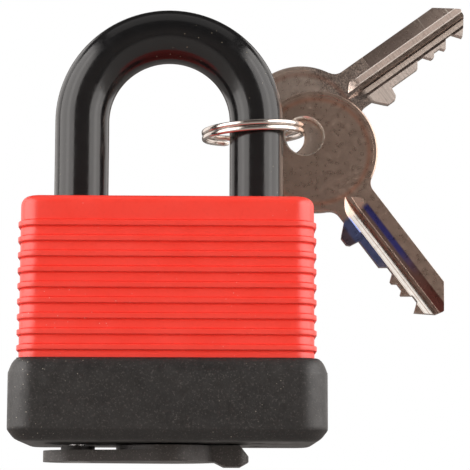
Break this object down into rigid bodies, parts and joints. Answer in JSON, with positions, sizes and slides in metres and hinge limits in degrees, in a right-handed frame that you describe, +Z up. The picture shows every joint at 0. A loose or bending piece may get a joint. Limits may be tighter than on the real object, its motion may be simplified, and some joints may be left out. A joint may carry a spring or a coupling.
{
  "type": "padlock",
  "caption": "Weather-proof laminated padlock in a ribbed red jacket and dark base, with coated shackle, swivelling keyhole cover, split ring and keys.",
  "frame": {"origin": "inside of the shackle's crown, midway between the legs, where a hasp's staple bears when the padlock hangs", "axes": "+Z up along the shackle legs, -Y towards the front face, +X to the right as seen from the front; the keyway opens downwards"},
  "size_m": [0.0832, 0.0356, 0.0872],
  "materials": {
    "jacket_plastic": "moulded red-orange thermoplastic, satin gloss",
    "base_plastic": "fine-textured charcoal moulding",
    "seal_rubber": "black rubber",
    "shackle_vinyl": "smooth black vinyl coating",
    "cover_plastic": "black moulding",
    "plate_steel": "zinc-plated steel laminations",
    "hard_steel": "hardened, bright zinc",
    "spring_steel": "drawn spring wire",
    "lock_brass": "turned brass",
    "bright_nickel": "bright nickel plate",
    "key_nickel": "nickel-plated brass, satin on the faces and bright in the milled grooves"
  },
  "bodies": {
    "lock_body": {"jacket": "jacket_plastic", "base_bumper": "base_plastic", "leg_seals": "seal_rubber", "plate_01": "plate_steel", "plate_02": "plate_steel", "plate_03": "plate_steel", "plate_04": "plate_steel", "plate_05": "plate_steel", "plate_06": "plate_steel", "plate_07": "plate_steel", "plate_08": "plate_steel", "plate_09": "plate_steel", "plate_10": "plate_steel", "plate_11": "plate_steel", "plate_12": "plate_steel", "plate_13": "plate_steel", "body_rivets": "plate_steel", "heel_pin": "hard_steel", "cylinder_shell": "lock_brass", "driver_pins": "lock_brass", "pin_springs": "spring_steel", "cover_pivot": "hard_steel", "shackle_spring": "spring_steel"},
    "shackle": {"shackle_core": "hard_steel", "shackle_coating": "shackle_vinyl"},
    "plug_group": {"plug": "lock_brass", "key_pins": "lock_brass", "plug_clip": "spring_steel", "spindle": "hard_steel", "locking_cam": "hard_steel"},
    "cover": {"keyhole_cover": "cover_plastic"},
    "key_ring": {"split_ring": "bright_nickel"},
    "front_key": {"key_front": "key_nickel"},
    "rear_key": {"key_rear": "key_nickel"}
  },
  "joints": [
    {"name": "shackle_lift", "type": "slide", "parent": "lock_body", "child": "shackle", "axis": [0, 0, 1], "range_m": [0, 0.01528], "deforming": ["shackle_spring"]},
    {"name": "plug_turn", "type": "hinge", "parent": "lock_body", "child": "plug_group", "pos_m": [0, 0, -0.06], "axis": [0, 0, 1], "range_deg": [0, 150]},
    {"name": "cover_swing", "type": "hinge", "parent": "lock_body", "child": "cover", "pos_m": [-0.016, 0, -0.072], "axis": [0, 0, -1], "range_deg": [0, 110]},
    {"name": "ring_swing", "type": "hinge", "parent": "shackle", "child": "key_ring", "pos_m": [0.016, 0, -0.0122], "axis": [0, 0, 1], "range_deg": [-60, 20]},
    {"name": "front_key_swing", "type": "hinge", "parent": "key_ring", "child": "front_key", "pos_m": [0.02412, 0.0064, -0.01166], "axis": [0, 1, 0], "range_deg": [-90, 5]},
    {"name": "rear_key_swing", "type": "hinge", "parent": "key_ring", "child": "rear_key", "pos_m": [0.02271, 0.0088, -0.01165], "axis": [0, 1, 0], "range_deg": [-30, 75]}
  ],
  "couplings": [
    {"joint": "plug_turn", "follows": "shackle_lift", "rad_per_m": 171.26}
  ]
}
